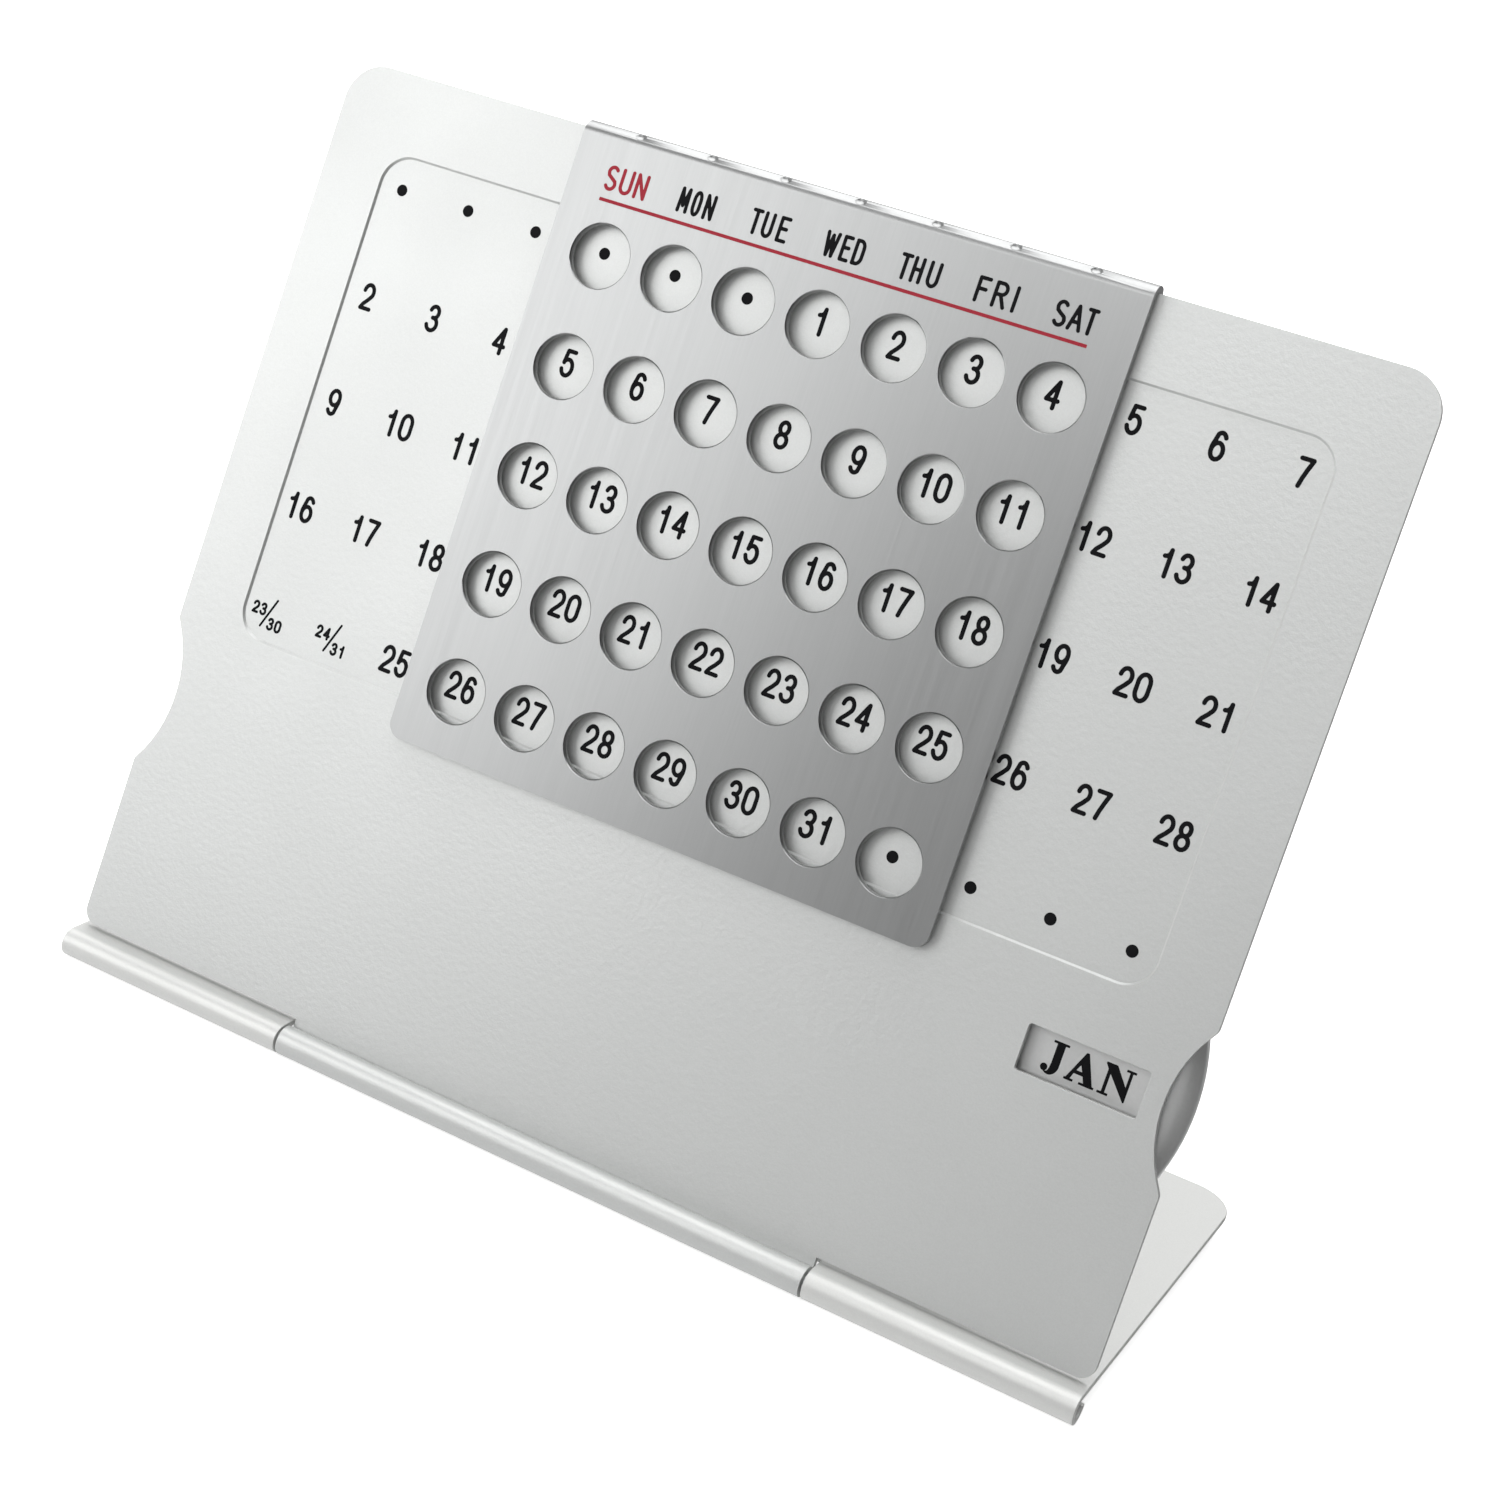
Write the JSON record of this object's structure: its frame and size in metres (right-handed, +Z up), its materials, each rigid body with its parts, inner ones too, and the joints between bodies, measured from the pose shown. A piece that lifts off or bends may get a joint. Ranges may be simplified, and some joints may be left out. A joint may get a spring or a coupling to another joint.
{
  "type": "perpetual desk calendar",
  "caption": "Sheet-metal perpetual calendar: a leaning panel on a hinged leg, with a pierced date slider over a printed number field and a turning month dial behind a window.",
  "frame": {"origin": "middle of the footprint, on the surface that the calendar stands on", "axes": "+X to the reader's right along the hinge, +Y from the reader to the far edge of the leg, +Z up"},
  "size_m": [0.1442, 0.0579, 0.1165],
  "materials": {
    "panel_satin": "satin silver lacquer with a fine orange-peel texture",
    "leg_satin": "smooth satin silver",
    "slider_brushed": "fine straight brushed grain",
    "pin_steel": "bright drawn wire",
    "spring_steel": "oiled spring steel",
    "dial_silver": "satin silver-grey plastic with printed month names",
    "washer_nylon": "natural nylon",
    "foot_rubber": "matt black rubber"
  },
  "bodies": {
    "stand": {"rear_leg": "leg_satin", "hinge_pin": "pin_steel", "foot_pad_left": "foot_rubber", "foot_pad_right": "foot_rubber"},
    "panel": {"front_panel": "panel_satin", "dial_stud": "pin_steel", "slip_washer": "washer_nylon", "spring_washer": "spring_steel", "retaining_clip": "spring_steel"},
    "slider": {"date_slider": "slider_brushed"},
    "dial": {"month_dial": "dial_silver"}
  },
  "joints": [
    {"name": "panel_hinge", "type": "hinge", "parent": "stand", "child": "panel", "pos_m": [0, -0.02705, 0.0019], "axis": [1, 0, 0], "range_deg": [0, 284]},
    {"name": "date_slide", "type": "slide", "parent": "panel", "child": "slider", "axis": [1, 0, 0], "range_m": [-0.0304, 0.0296]},
    {"name": "month_turn", "type": "hinge", "parent": "panel", "child": "dial", "pos_m": [0.045, -0.01304, 0.0342], "axis": [0, -0.9563, 0.2924], "continuous": true}
  ]
}
